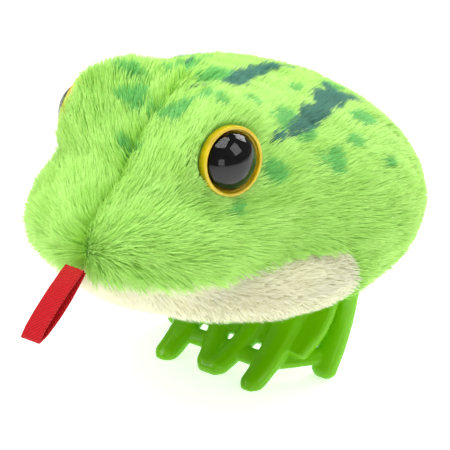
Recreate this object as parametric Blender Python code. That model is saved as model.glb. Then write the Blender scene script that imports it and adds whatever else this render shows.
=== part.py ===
"""Plush frog on a sprung claw clip: plush panels, safety eyes, ribbon tongue and a two-jaw clip.

Frame: metres, +Z up, the nose towards -Y, the frog's left at +X, the prong tips on the ground at z = 0.
"""

import math

import bmesh
import bpy
import numpy as np
from mathutils import Matrix, Vector

MM = 0.001

# Plush body: the envelope of the pile is a smooth union of ellipsoids (centre, half sizes)
TORSO = ((0, 26.5, 48.5), (48.5, 34.5, 27.0))
SHOULDERS = ((0, 20.0, 55.0), (36.0, 26.0, 23.5))
CROWN = ((0, 0.0, 57.0), (33.5, 30.0, 29.0))
MUZZLE = ((0, -14.5, 50.0), (32.5, 30.0, 19.0))
JOWL = ((0, 4.5, 38.0), (46.5, 35.5, 14.0))
BODY_CENTRE = Vector((0, 8.5, 50.0)) * MM
BLEND_POWER = 8
BODY_SEGMENTS = 40
BODY_RINGS = 20
PLUSH_THICKNESS = 4.0 * MM
FILL_CLEARANCE = 1.6 * MM
GAP = 0.3 * MM

# Seams between the plush panels
MOUTH_Z = 46.0 * MM
SIDE_SEAM_Y = 11.0 * MM
BELLY_TOP_Z = 33.0 * MM

# Pocket for the clip, a tapered box: (half width, front y, back y, z) at its foot and at its top
POCKET_FOOT = (35.0, -25.0, 52.0, 14.0)
POCKET_TOP = (16.0, -5.5, 29.0, 72.0)
POCKET_ROUNDING = 5.0 * MM
LINING_THICKNESS = 1.0 * MM

# Eyes: the front face of the iris flange
EYE_PLACE = Vector((25.2, -13.0, 73.1)) * MM
EYE_AZIMUTH = math.radians(77)
EYE_TILT = math.radians(10)
EYE_RADIUS = 8.9 * MM
LENS_RADIUS = 7.7 * MM
LENS_HEIGHT = 4.2 * MM
PUPIL_RADIUS = 6.9 * MM
FLANGE_THICKNESS = 1.8 * MM
RIM_HEIGHT = 0.7 * MM
RECESS_DEPTH = 0.4 * MM
STEM_RADIUS = 2.0 * MM
STEM_LENGTH = 9.0 * MM
WASHER_RADIUS = 5.5 * MM

# Ribbon tongue: one strip folded into a loop, hinged where the seam holds it
TONGUE_ROOT = Vector((0, -43.0, 47.0)) * MM
TONGUE_TIP = Vector((0, -60.3, 33.8)) * MM
TONGUE_HALF_WIDTH = 3.1 * MM
RIBBON_THICKNESS = 0.6 * MM
TONGUE_BOW = 1.7 * MM

# Claw clip
HINGE = Vector((0, 10.5, 46.0)) * MM
PIN_RADIUS = 1.0 * MM
PIN_HALF_LENGTH = 12.4 * MM
BORE_RADIUS = 1.3 * MM
KNUCKLE_RADIUS = 3.4 * MM
EAR_HALF_WIDTH = 1.1 * MM
REAR_EAR_X = 9.5 * MM
FRONT_EAR_X = 6.5 * MM
PRONG_TIP_HALF_WIDTH = 2.7 * MM
PRONG_ROOT_HALF_WIDTH = 5.4 * MM
OUTER_HALF_WIDTHS = (3.1 * MM, 4.25 * MM)
LEG_HALF_WIDTHS = (2.5 * MM, 3.4 * MM)
PRONG_HALF_THICKNESS = 1.9 * MM
PLATE_HALF_THICKNESS = 1.4 * MM
# Arcs that the prongs follow in the YZ plane: (centre y, centre z, radius), then the tip's height
REAR_ARC = (-9.0, 36.5, 39.5)
REAR_OUTER_ARC = (-18.2, 30.0, 51.2)
FRONT_ARC = (17.0, 40.0, 27.0)
REAR_PRONG_X = 14.0
REAR_OUTER_X = 24.0
CENTRE_LEG_X = 5.4
FRONT_PRONG_XS = (-17.5, -6.0, 6.0, 17.5)
FRONT_INNER_TIP = math.radians(-42)
FRONT_OUTER_TIP = math.radians(-55)

# Torsion spring
SPRING_TURNS = 5
SPRING_RADIUS = 2.6 * MM
SPRING_WIRE = 0.45 * MM
SPRING_HALF_LENGTH = 3.6 * MM
SPRING_FOOT_Y = 6.2 * MM
SPRING_FOOT_Z = 12.0 * MM

LIME = (0.30, 0.66, 0.09)
CREAM = (0.83, 0.80, 0.52)
CLAW_GREEN = (0.13, 0.40, 0.01)
COLOURS = {
    "lime_plush": (LIME, 0.9, 0.0),
    "cream_plush": (CREAM, 0.9, 0.0),
    "lining_fabric": ((0.75, 0.76, 0.70), 0.95, 0.0),
    "fill_fibre": ((0.90, 0.90, 0.88), 1.0, 0.0),
    "eye_clear": ((0.95, 0.93, 0.85), 0.03, 0.0),
    "eye_yellow": ((0.55, 0.50, 0.01), 0.3, 0.0),
    "eye_black": ((0.005, 0.005, 0.006), 0.15, 0.0),
    "washer_white": ((0.80, 0.80, 0.78), 0.5, 0.0),
    "red_ribbon": ((0.65, 0.005, 0.01), 0.6, 0.0),
    "claw_plastic": (CLAW_GREEN, 0.25, 0.0),
    "steel": ((0.60, 0.60, 0.62), 0.3, 1.0),
}


def clear_scene():
    for obj in list(bpy.data.objects):
        bpy.data.objects.remove(obj, do_unlink=True)


def new_collection(name):
    collection = bpy.data.collections.new(name)
    bpy.context.scene.collection.children.link(collection)
    return collection


def material(slot):
    if slot in bpy.data.materials:
        return bpy.data.materials[slot]
    colour, roughness, metallic = COLOURS[slot]
    made = bpy.data.materials.new(slot)
    made.use_nodes = True
    shader = made.node_tree.nodes["Principled BSDF"]
    shader.inputs["Base Color"].default_value = (*colour, 1)
    shader.inputs["Roughness"].default_value = roughness
    shader.inputs["Metallic"].default_value = metallic
    return made


def add_object(name, bm, slot=None, smooth_angle=40):
    """A named object from a bmesh; without a slot it is a helper that only cuts or joins."""
    bmesh.ops.recalc_face_normals(bm, faces=bm.faces)
    mesh = bpy.data.meshes.new(name)
    bm.to_mesh(mesh)
    bm.free()
    obj = bpy.data.objects.new(name, mesh)
    if slot is None:
        helpers.objects.link(obj)
        obj.hide_render = True
        obj.display_type = "WIRE"
        return obj
    parts.objects.link(obj)
    mesh.materials.append(material(slot))
    mesh.shade_smooth()
    mesh.set_sharp_from_angle(angle=math.radians(smooth_angle))
    return obj


def boolean(obj, other, operation):
    modifier = obj.modifiers.new(f"{operation.lower()}_{other.name}", "BOOLEAN")
    modifier.operation = operation
    modifier.object = other
    modifier.solver = "EXACT"


# Plush body


def blob_sum(points, shrink):
    """Above 1 inside the smooth union of the body's ellipsoids, each made smaller by shrink."""
    total = np.zeros(len(points))
    for centre, half in (TORSO, SHOULDERS, CROWN, MUZZLE, JOWL):
        scaled = (points - np.array(centre) * MM) / (np.array(half) * MM - shrink)
        total += np.maximum(np.linalg.norm(scaled, axis=1), 0.001) ** -BLEND_POWER
    return total


def body_points(directions, shrink=0.0):
    """Where rays from the body's centre leave the body."""
    near = np.zeros(len(directions))
    far = np.full(len(directions), 100 * MM)
    origin = np.array(BODY_CENTRE)
    for _ in range(40):
        middle = (near + far) / 2
        inside = blob_sum(origin + directions * middle[:, None], shrink) > 1
        near = np.where(inside, middle, near)
        far = np.where(inside, far, middle)
    return origin + directions * near[:, None]


def body_bmesh(shrink=0.0):
    """The body's closed surface, from a sphere pushed out to the union of ellipsoids."""
    bm = bmesh.new()
    bmesh.ops.create_uvsphere(bm, u_segments=BODY_SEGMENTS, v_segments=BODY_RINGS, radius=1.0)
    directions = np.array([vert.co.normalized() for vert in bm.verts])
    for vert, point in zip(bm.verts, body_points(directions, shrink)):
        vert.co = point
    return bm


def keep_side(bm, axis, limit, sign):
    """Cut the surface at axis = limit and keep the side that sign points to, back by half a gap."""
    normal = Vector((0, 0, 0))
    normal[axis] = sign
    point = Vector((0, 0, 0))
    point[axis] = limit + sign * GAP / 2
    geometry = bm.verts[:] + bm.edges[:] + bm.faces[:]
    bmesh.ops.bisect_plane(bm, geom=geometry, plane_co=point, plane_no=normal, clear_inner=True)


def panel(name, slot, sides):
    """A plush panel: the part of the body inside its seams, thickened inwards."""
    bm = body_bmesh()
    for axis, limit, sign in sides:
        keep_side(bm, axis, limit, sign)
    outer = list(bm.verts)
    directions = np.array([(vert.co - BODY_CENTRE).normalized() for vert in outer])
    inward = body_points(directions, PLUSH_THICKNESS)
    rim = [edge for edge in bm.edges if edge.is_boundary]
    inner = {vert: bm.verts.new(point) for vert, point in zip(outer, inward)}
    for face in list(bm.faces):
        bm.faces.new([inner[vert] for vert in reversed(face.verts)])
    for edge in rim:
        first, second = edge.verts
        bm.faces.new((first, second, inner[second], inner[first]))
    return add_object(name, bm, slot)


def pocket_bmesh(outset):
    """The tapered box that the clip sits in, with rounded edges."""
    bm = bmesh.new()
    bmesh.ops.create_cube(bm, size=1.0)
    for vert in bm.verts:
        half, front, back, height = POCKET_TOP if vert.co.z > 0 else POCKET_FOOT
        side_x = math.copysign(half * MM + outset, vert.co.x)
        side_y = back * MM + outset if vert.co.y > 0 else front * MM - outset
        lift = outset if vert.co.z > 0 else -outset
        vert.co = (side_x, side_y, height * MM + lift)
    low = min(vert.co.z for vert in bm.verts)
    edges = [edge for edge in bm.edges if any(vert.co.z > low + MM for vert in edge.verts)]
    bmesh.ops.bevel(bm, geom=edges, offset=POCKET_ROUNDING, segments=3, affect="EDGES", profile=0.5)
    return bm


def plush_body():
    slot_cutter = add_object("slot_cutter", pocket_bmesh(GAP))
    above_mouth = (2, MOUTH_Z, 1)
    ahead = (1, SIDE_SEAM_Y, -1)
    behind = (1, SIDE_SEAM_Y, 1)
    left = panel("face_panel_left", "lime_plush", [(0, 0.0, 1), above_mouth, ahead])
    right = panel("face_panel_right", "lime_plush", [(0, 0.0, -1), above_mouth, ahead])
    chin = panel("chin_panel", "cream_plush", [(2, MOUTH_Z, -1), ahead])
    panel("back_panel", "lime_plush", [(2, BELLY_TOP_Z, 1), behind])
    belly = panel("belly_panel", "lime_plush", [(2, BELLY_TOP_Z, -1), behind])
    for soft in (chin, belly):
        boolean(soft, slot_cutter, "DIFFERENCE")

    core_shrink = PLUSH_THICKNESS + FILL_CLEARANCE
    stuffing = add_object("stuffing", body_bmesh(core_shrink), "fill_fibre")
    boolean(stuffing, slot_cutter, "DIFFERENCE")

    core = add_object("core_shape", body_bmesh(core_shrink))
    lining = add_object("clip_pocket", pocket_bmesh(0.0), "lining_fabric")
    boolean(lining, add_object("pocket_hollow", pocket_bmesh(-LINING_THICKNESS)), "DIFFERENCE")
    boolean(lining, add_object("pocket_mouth", mouth_block()), "DIFFERENCE")
    boolean(lining, core, "INTERSECT")
    return left, right, chin, stuffing


def mouth_block():
    """Opens the foot of the pocket."""
    half, front, back, foot = POCKET_FOOT
    bm = bmesh.new()
    bmesh.ops.create_cube(bm, size=1.0)
    inset = LINING_THICKNESS / MM
    size = Vector((2 * (half - inset), back - front - 2 * inset, 4.0)) * MM
    place = Vector((0, (front + back) / 2, foot)) * MM
    bmesh.ops.transform(bm, matrix=Matrix.Translation(place) @ Matrix.Diagonal((*size, 1)), verts=bm.verts)
    return bm


# Eyes


def eye_matrix(side):
    """Local +Z is the eye's outward axis; side is 1 for the frog's left and -1 for its right."""
    outward = Vector((
        side * math.sin(EYE_AZIMUTH) * math.cos(EYE_TILT),
        -math.cos(EYE_AZIMUTH) * math.cos(EYE_TILT),
        math.sin(EYE_TILT),
    ))
    turn = outward.to_track_quat("Z", "Y").to_matrix().to_4x4()
    place = Vector((side * EYE_PLACE.x, EYE_PLACE.y, EYE_PLACE.z))
    return Matrix.Translation(place) @ turn


def turned(name, profile, matrix, slot=None, segments=24):
    """A closed turned solid from its (radius, height) profile, listed from the top down its outer side."""
    bm = bmesh.new()
    verts = [bm.verts.new((radius, 0, height)) for radius, height in profile]
    for start, end in zip(verts, verts[1:] + verts[:1]):
        if max(start.co.x, end.co.x) > 0:
            bm.edges.new((start, end))
    bmesh.ops.spin(bm, geom=bm.verts[:] + bm.edges[:], cent=(0, 0, 0), axis=(0, 0, 1),
                   angle=2 * math.pi, steps=segments, use_merge=True)
    bmesh.ops.remove_doubles(bm, verts=bm.verts, dist=0.00001)
    obj = add_object(name, bm, slot)
    obj.matrix_world = matrix
    return obj


def dome_profile(radius, height, base, steps=7):
    """A spherical cap's edge from its crown to its rim."""
    ball = (radius**2 + height**2) / (2 * height)
    reach = math.asin(radius / ball) if height <= radius else math.pi - math.asin(radius / ball)
    points = []
    for step in range(steps + 1):
        angle = reach * step / steps
        points.append((ball * math.sin(angle), base + height - ball + ball * math.cos(angle)))
    return points


def eye(side, label, face, stuffing):
    matrix = eye_matrix(side)
    floor = -RECESS_DEPTH
    stem_end = -FLANGE_THICKNESS - STEM_LENGTH
    turned(f"eye_iris_{label}", [
        (0, floor), (LENS_RADIUS + GAP, floor), (LENS_RADIUS + GAP, RIM_HEIGHT),
        (EYE_RADIUS - 0.4 * MM, RIM_HEIGHT), (EYE_RADIUS, RIM_HEIGHT - 0.5 * MM),
        (EYE_RADIUS, -FLANGE_THICKNESS + 0.4 * MM), (EYE_RADIUS - 0.5 * MM, -FLANGE_THICKNESS),
        (STEM_RADIUS, -FLANGE_THICKNESS), (STEM_RADIUS, stem_end + 0.6 * MM),
        (STEM_RADIUS - 0.6 * MM, stem_end), (0, stem_end),
    ], matrix, "eye_yellow")
    pupil_base = floor + GAP
    pupil_top = pupil_base + 0.4 * MM
    turned(f"eye_pupil_{label}", [
        (0, pupil_top), (PUPIL_RADIUS, pupil_top), (PUPIL_RADIUS, pupil_base), (0, pupil_base),
    ], matrix, "eye_black")
    lens_base = pupil_top + GAP
    turned(f"eye_lens_{label}", dome_profile(LENS_RADIUS, LENS_HEIGHT, lens_base) + [(0, lens_base)],
           matrix, "eye_clear")
    washer_top = -FLANGE_THICKNESS - 3.6 * MM
    turned(f"eye_washer_{label}", [
        (STEM_RADIUS + GAP, washer_top), (WASHER_RADIUS, washer_top - 0.8 * MM),
        (WASHER_RADIUS, washer_top - 1.8 * MM), (STEM_RADIUS + GAP, washer_top - 1.2 * MM),
    ], matrix, "washer_white")
    seat = turned(f"eye_seat_{label}", [
        (0, 12 * MM), (EYE_RADIUS + GAP, 12 * MM), (EYE_RADIUS + GAP, -FLANGE_THICKNESS - GAP),
        (STEM_RADIUS + GAP, -FLANGE_THICKNESS - GAP), (STEM_RADIUS + GAP, -14 * MM), (0, -14 * MM),
    ], matrix)
    boolean(face, seat, "DIFFERENCE")
    for soft, room_top in ((face, washer_top + GAP), (stuffing, 12 * MM)):
        room = turned(f"washer_room_{soft.name}_{label}", [
            (0, room_top), (WASHER_RADIUS + GAP, room_top), (WASHER_RADIUS + GAP, stem_end - 2 * GAP),
            (0, stem_end - 2 * GAP),
        ], matrix)
        boolean(soft, room, "DIFFERENCE")


# Tongue


def strip_bmesh(line, half_width, thickness):
    """A strip of even thickness along an open line in the YZ plane, its width along X."""
    bm = bmesh.new()
    rows = []
    for index, point in enumerate(line):
        before = line[max(index - 1, 0)]
        after = line[min(index + 1, len(line) - 1)]
        along = (after - before).normalized()
        across = Vector((0, -along.z, along.y)) * (thickness / 2)
        corners = []
        for x, offset in ((-1, -1), (1, -1), (1, 1), (-1, 1)):
            corners.append(bm.verts.new(point + across * offset + Vector((x * half_width, 0, 0))))
        rows.append(corners)
    for row, following in zip(rows, rows[1:]):
        for corner in range(4):
            nxt = (corner + 1) % 4
            bm.faces.new((row[corner], row[nxt], following[nxt], following[corner]))
    bm.faces.new(rows[0])
    bm.faces.new(rows[-1])
    return bm


def tongue(neighbours):
    """A ribbon loop: out along the upper layer, round the fold at the tip and back below."""
    along = (TONGUE_TIP - TONGUE_ROOT)
    length = along.length
    along = along.normalized()
    across = Vector((0, -along.z, along.y))
    if across.z < 0:
        across = -across
    line = []
    steps = 12
    for step in range(2 * steps + 1):
        share = step / steps
        out = share if share <= 1 else 2 - share
        side = 1 if share <= 1 else -1
        swell = RIBBON_THICKNESS * 0.8 + TONGUE_BOW * math.sin(math.pi * min(out, 1.0)) ** 0.8
        if step == steps:
            swell = 0
        line.append(TONGUE_ROOT + along * length * out + across * swell * side)
    add_object("tongue_ribbon", strip_bmesh(line, TONGUE_HALF_WIDTH, RIBBON_THICKNESS), "red_ribbon")
    bm = bmesh.new()
    bmesh.ops.create_cube(bm, size=1.0)
    size = Vector((2 * TONGUE_HALF_WIDTH + 2 * MM, 14 * MM, 4.6 * MM))
    place = Matrix.Translation(TONGUE_ROOT + along * 3.5 * MM)
    turn = along.to_track_quat("Y", "Z").to_matrix().to_4x4()
    bmesh.ops.transform(bm, matrix=place @ turn @ Matrix.Diagonal((*size, 1)), verts=bm.verts)
    cutter = add_object("tongue_slot_cutter", bm)
    for obj in neighbours:
        boolean(obj, cutter, "DIFFERENCE")


# Claw clip


def sweep_bmesh(path, half_widths, half_thicknesses, side, corners=10, squareness=2.6):
    """A solid with a rounded section swept along a path; side is the direction of its width."""
    bm = bmesh.new()
    rings = []
    for index, point in enumerate(path):
        before = path[max(index - 1, 0)]
        after = path[min(index + 1, len(path) - 1)]
        along = (after - before).normalized()
        up = along.cross(side).normalized()
        ring = []
        for corner in range(corners):
            angle = 2 * math.pi * (corner + 0.5) / corners
            wide = math.copysign(abs(math.cos(angle)) ** (2 / squareness), math.cos(angle))
            high = math.copysign(abs(math.sin(angle)) ** (2 / squareness), math.sin(angle))
            offset = side * (half_widths[index] * wide) + up * (half_thicknesses[index] * high)
            ring.append(bm.verts.new(point + offset))
        rings.append(ring)
    for ring, following in zip(rings, rings[1:]):
        for corner in range(corners):
            nxt = (corner + 1) % corners
            bm.faces.new((ring[corner], ring[nxt], following[nxt], following[corner]))
    bm.faces.new(rings[0])
    bm.faces.new(rings[-1])
    return bm


def arc_point(arc, angle, x=0.0):
    """A point on a prong arc; the angle is from straight down, positive towards the back."""
    centre_y, centre_z, radius = arc
    return Vector((x, centre_y + radius * math.sin(angle), centre_z - radius * math.cos(angle))) * MM


def prong(name, arc, tip_angle, root_angle, tip_x, root_x, widths, thickness=PRONG_HALF_THICKNESS, rings=9):
    """A tapered finger along an arc, with a round tip."""
    path, half_widths, half_thicknesses = [], [], []
    tip_width, root_width = widths
    for step in range(rings):
        share = step / (rings - 1)
        share = share**1.4
        angle = tip_angle + (root_angle - tip_angle) * share
        drift = min(share / 0.45, 1.0)
        path.append(arc_point(arc, angle, tip_x + (root_x - tip_x) * drift))
        from_tip = abs(angle - tip_angle) * arc[2] * MM + 0.25 * MM
        roundness = math.sqrt(max(1 - max(1 - from_tip / (1.6 * MM), 0) ** 2, 0.0))
        half_widths.append((tip_width + (root_width - tip_width) * share) * roundness)
        half_thicknesses.append(thickness * roundness)
    return add_object(name, sweep_bmesh(path, half_widths, half_thicknesses, Vector((1, 0, 0))))


def smooth_path(points, steps=3):
    """A Catmull-Rom curve through (y, z, half width) points, in metres, with its half widths."""
    table = [Vector(point) for point in points]
    table = [2 * table[0] - table[1]] + table + [2 * table[-1] - table[-2]]
    path, widths = [], []
    for index in range(1, len(table) - 2):
        a, b, c, d = table[index - 1:index + 3]
        last = index == len(table) - 3
        for step in range(steps + (1 if last else 0)):
            t = step / steps
            p = 0.5 * (2 * b + (c - a) * t + (2 * a - 5 * b + 4 * c - d) * t**2
                       + (3 * b - a - 3 * c + d) * t**3)
            path.append(Vector((0, p.x, p.y)) * MM)
            widths.append(p.z * MM)
    return path, widths


def plate(name, points):
    """The jaw's moulded plate: shoulder, neck at the hinge and thumb lever."""
    path, widths = smooth_path(points)
    thicknesses = [PLATE_HALF_THICKNESS] * len(path)
    bm = sweep_bmesh(path, widths, thicknesses, Vector((1, 0, 0)), corners=16, squareness=7)
    return add_object(name, bm, "claw_plastic")


def web_bar(name, start, end, arc_along, half_width):
    """A bar between two prongs, flat against the prongs' arc."""
    path = [start.lerp(end, step / 4) for step in range(5)]
    side = (arc_along - arc_along.project(end - start)).normalized()
    return add_object(name, sweep_bmesh(path, [half_width] * 5, [1.0 * MM] * 5, side, corners=10))


def cylinder_x(name, radius, half_length, place, slot=None, segments=24):
    bm = bmesh.new()
    bmesh.ops.create_cone(bm, cap_ends=True, segments=segments, radius1=radius, radius2=radius,
                          depth=2 * half_length)
    matrix = Matrix.Translation(place) @ Matrix.Rotation(math.pi / 2, 4, "Y")
    bmesh.ops.transform(bm, matrix=matrix, verts=bm.verts)
    return add_object(name, bm, slot)


def add_ears(jaw, label, ear_x, neck):
    """Two hinge knuckles, each on an arm that runs back to the jaw's neck."""
    for side in (-1, 1):
        centre = HINGE + Vector((side * ear_x, 0, 0))
        arm_end = Vector((side * ear_x, neck[0] * MM, neck[1] * MM))
        path = [centre.lerp(arm_end, step / 3) for step in range(4)]
        arm = sweep_bmesh(path, [EAR_HALF_WIDTH] * 4, [2.6 * MM] * 4, Vector((1, 0, 0)), corners=12,
                          squareness=7)
        boolean(jaw, add_object(f"{label}_arm_{side}", arm), "UNION")
        knuckle = cylinder_x(f"{label}_knuckle_{side}", KNUCKLE_RADIUS, EAR_HALF_WIDTH, centre)
        boolean(jaw, knuckle, "UNION")


def rear_jaw(bore, ground):
    """The jaw that shows under the belly: five prong tips, the centre one on two legs, and a web."""
    jaw = plate("rear_jaw", [
        (18.6, 6.6, 22.3), (23.6, 12.0, 24.6), (27.4, 18.0, 25.2), (29.9, 24.0, 25.4),
        (31.6, 31.0, 24.5), (29.8, 39.5, 19.0), (22.5, 46.0, 13.5),
        (17.6, 51.0, 12.0), (19.0, 58.0, 12.0), (23.0, 65.5, 10.5),
    ])
    down = math.radians(22.0)
    top = math.radians(76)
    slim = (PRONG_TIP_HALF_WIDTH, PRONG_ROOT_HALF_WIDTH)
    web_angle = math.radians(36)
    along = arc_point(REAR_ARC, web_angle + 0.1) - arc_point(REAR_ARC, web_angle)
    pieces = []
    for side in (-1, 1):
        x = side * REAR_PRONG_X
        pieces.append(prong(f"prong_{side}", REAR_ARC, down, top, x, x, slim))
        pieces.append(prong(f"leg_{side}", REAR_ARC, down + 0.035, top, side * 1.1,
                            side * CENTRE_LEG_X, LEG_HALF_WIDTHS))
        outer = side * REAR_OUTER_X
        pieces.append(prong(f"outer_{side}", REAR_OUTER_ARC, math.radians(54.5), math.radians(81),
                            outer, outer, OUTER_HALF_WIDTHS))
        outer_end = arc_point(REAR_OUTER_ARC, math.radians(61), outer)
        pieces.append(web_bar(f"web_outer_{side}", arc_point(REAR_ARC, web_angle, x), outer_end, along, 2.0 * MM))
    pieces.append(web_bar("web_inner", arc_point(REAR_ARC, web_angle, -REAR_PRONG_X),
                          arc_point(REAR_ARC, web_angle, REAR_PRONG_X), along, 2.0 * MM))
    for piece in pieces:
        boolean(jaw, piece, "UNION")
    add_ears(jaw, "rear", REAR_EAR_X, (19.5, 49.5))
    boolean(jaw, bore, "DIFFERENCE")
    boolean(jaw, ground, "DIFFERENCE")
    return jaw


def front_jaw(bore):
    """The mating jaw, whose four prongs close inside the rear jaw's."""
    jaw = plate("front_jaw", [
        (-6.2, 26.5, 20.5), (-9.6, 34.0, 20.5), (-8.6, 41.5, 17.0), (-1.5, 46.5, 13.0),
        (3.4, 51.0, 12.0), (2.0, 58.0, 12.0), (-2.0, 65.5, 10.5),
    ])
    for index, x in enumerate(FRONT_PRONG_XS):
        tip_angle = FRONT_INNER_TIP if abs(x) < 10 else FRONT_OUTER_TIP
        finger = prong(f"front_prong_{index}", FRONT_ARC, tip_angle, math.radians(-68), x, x,
                       (1.7 * MM, 3.0 * MM), thickness=1.4 * MM, rings=7)
        boolean(jaw, finger, "UNION")
    add_ears(jaw, "front", FRONT_EAR_X, (1.5, 49.5))
    boolean(jaw, bore, "DIFFERENCE")
    return jaw


def torsion_spring():
    """A coil round the pin, with a leg against each thumb lever."""
    points = []
    steps = 12
    total = SPRING_TURNS * steps + steps // 2
    for step in range(total + 1):
        angle = 2 * math.pi * step / steps
        x = -SPRING_HALF_LENGTH + 2 * SPRING_HALF_LENGTH * step / total
        points.append(HINGE + Vector((x, -SPRING_RADIUS * math.cos(angle), SPRING_RADIUS * math.sin(angle))))
    front_foot = HINGE + Vector((-SPRING_HALF_LENGTH, -SPRING_FOOT_Y, SPRING_FOOT_Z))
    rear_foot = HINGE + Vector((SPRING_HALF_LENGTH, SPRING_FOOT_Y, SPRING_FOOT_Z))
    points = [front_foot] + points + [rear_foot]
    curve = bpy.data.curves.new("torsion_spring", "CURVE")
    curve.dimensions = "3D"
    curve.bevel_depth = SPRING_WIRE
    curve.bevel_resolution = 1
    curve.use_fill_caps = True
    spline = curve.splines.new("POLY")
    spline.points.add(len(points) - 1)
    for target, point in zip(spline.points, points):
        target.co = (*point, 1)
    curve.materials.append(material("steel"))
    parts.objects.link(bpy.data.objects.new("torsion_spring", curve))


def hinge_hardware():
    """The pin and the two caps pressed on its ends."""
    cylinder_x("hinge_pin", PIN_RADIUS, PIN_HALF_LENGTH, HINGE, "steel", segments=16)
    for side, label in ((1, "left"), (-1, "right")):
        matrix = Matrix.Translation(HINGE + Vector((side * 11.1 * MM, 0, 0)))
        matrix = matrix @ Matrix.Rotation(side * math.pi / 2, 4, "Y")
        turned(f"pin_cap_{label}", [
            (0, 2.6 * MM), (1.4 * MM, 2.5 * MM), (2.3 * MM, 1.6 * MM), (2.3 * MM, 0),
            (PIN_RADIUS + GAP, 0), (PIN_RADIUS + GAP, 1.7 * MM), (0, 1.7 * MM),
        ], matrix, "steel", segments=16)


def ground_block():
    bm = bmesh.new()
    bmesh.ops.create_cube(bm, size=0.2)
    bmesh.ops.translate(bm, vec=Vector((0, 0, -0.1)), verts=bm.verts)
    return add_object("ground_block", bm)


def build():
    left, right, chin, stuffing = plush_body()
    eye(1, "left", left, stuffing)
    eye(-1, "right", right, stuffing)
    tongue((left, right, chin, stuffing))
    bore = cylinder_x("hinge_bore", BORE_RADIUS, 20 * MM, HINGE)
    rear_jaw(bore, ground_block())
    front_jaw(bore)
    torsion_spring()
    hinge_hardware()


clear_scene()
parts = new_collection("plush_frog_claw_clip")
helpers = new_collection("cutters")
build()
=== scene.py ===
"""Looks of the plush frog claw clip: pile, eyes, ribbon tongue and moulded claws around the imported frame."""

import math

import bmesh
import bpy
import numpy as np
from mathutils import Matrix, Vector
from mathutils.kdtree import KDTree


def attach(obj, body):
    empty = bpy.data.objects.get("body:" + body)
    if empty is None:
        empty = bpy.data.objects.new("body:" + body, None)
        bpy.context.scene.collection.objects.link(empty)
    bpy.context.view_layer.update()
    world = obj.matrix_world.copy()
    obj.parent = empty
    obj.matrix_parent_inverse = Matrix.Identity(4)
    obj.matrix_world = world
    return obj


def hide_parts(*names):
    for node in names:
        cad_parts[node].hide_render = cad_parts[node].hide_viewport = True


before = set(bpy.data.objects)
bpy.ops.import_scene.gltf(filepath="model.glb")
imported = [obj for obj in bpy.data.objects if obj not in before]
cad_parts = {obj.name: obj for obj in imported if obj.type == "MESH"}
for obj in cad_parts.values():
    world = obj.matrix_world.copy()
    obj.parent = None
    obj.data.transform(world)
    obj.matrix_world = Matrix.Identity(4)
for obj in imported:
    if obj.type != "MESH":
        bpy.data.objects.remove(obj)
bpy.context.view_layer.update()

MM = 0.001

# The body's envelope, as the frame's plush panels follow it: ellipsoids as (centre, half sizes), in mm
TORSO = ((0, 26.5, 48.5), (48.5, 34.5, 27.0))
SHOULDERS = ((0, 20.0, 55.0), (36.0, 26.0, 23.5))
CROWN = ((0, 0.0, 57.0), (33.5, 30.0, 29.0))
MUZZLE = ((0, -14.5, 50.0), (32.5, 30.0, 19.0))
JOWL = ((0, 4.5, 38.0), (46.5, 35.5, 14.0))
BODY_CENTRE = np.array((0, 8.5, 50.0)) * MM
BLEND_POWER = 8
MOUTH_Z = 46.0 * MM
SIDE_SEAM_Y = 11.0 * MM
BELLY_TOP_Z = 33.0 * MM
SEAM_GAP = 0.04 * MM
# Rays from the body's centre are halved this often to find the surface
RAY_LENGTH = 100 * MM
RAY_HALVINGS = 40

SKIN_DEPTH = 3.2 * MM
CLOTH_THICKNESS = 0.8 * MM
SKIN_SEGMENTS = 144
SKIN_RINGS = 84
# The face's middle seam: how far it is pulled in, its half width, its lower end and its back end
SEAM_DIP = 2.4 * MM
SEAM_SPREAD = 2.6 * MM
SEAM_FOOT_Z = MOUTH_Z - 2 * MM
SEAM_END_Y = -8 * MM
NOSE = np.array((0, -44.0, 49.0)) * MM

# The slot in the underside, a tapered box: (half width, front y, back y, z) at its foot and its top, in mm
POCKET_FOOT = (35.0, -25.0, 52.0, 14.0)
POCKET_TOP = (16.0, -5.5, 29.0, 72.0)
SLOT_SQUARENESS = 6
SLOT_LIMIT_Z = 45 * MM

EYE_PLACE = Vector((25.2, -13.0, 73.1)) * MM
EYE_AZIMUTH = math.radians(77)
EYE_TILT = math.radians(10)
EYE_RADIUS = 8.9 * MM
EYE_BACK = -2.5 * MM
EYE_CUSHION = 9.0 * MM
# Cloth and pile deeper than this under an eye's face belong to the other side of the head
EYE_SIDE_DEPTH = 20 * MM
# Profiles of an eye's turned pieces, in mm: (radius, height over the eye's face)
IRIS_PROFILE = (
    (0, -0.4), (8.0, -0.4), (8.0, 0.7), (8.9, 0.7), (8.9, -1.8), (2.0, -1.8), (2.0, -10.8), (0, -10.8),
)
PUPIL_PROFILE = ((0, 0.3), (6.9, 0.3), (6.9, -0.1), (0, -0.1))
EDGE_RADIUS = 0.3
PUPIL_EDGE_RADIUS = 0.1
LENS_RADIUS = 7.7
LENS_HEIGHT = 4.6
LENS_BASE = -0.3
TURNED_SEGMENTS = 72

# The ribbon tongue: a loop whose two layers part in the middle and meet in a fold at the tip
TONGUE_ROOT = Vector((0, -43.0, 47.0)) * MM
TONGUE_TIP = Vector((0, -60.3, 33.8)) * MM
RIBBON_HALF_WIDTH = 3.0 * MM
RIBBON_THICKNESS = 0.35 * MM
RIBBON_ROOT_GAP = 0.4 * MM
RIBBON_BULGE = 1.0 * MM
RIBBON_FULLNESS = 0.8
RIBBON_FOLD = 8
RIBBON_CUP = 0.25 * MM
RIBBON_STEPS = 40
RIBBON_COLUMNS = 12
WEAVE_SCALE = 0.60

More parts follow.
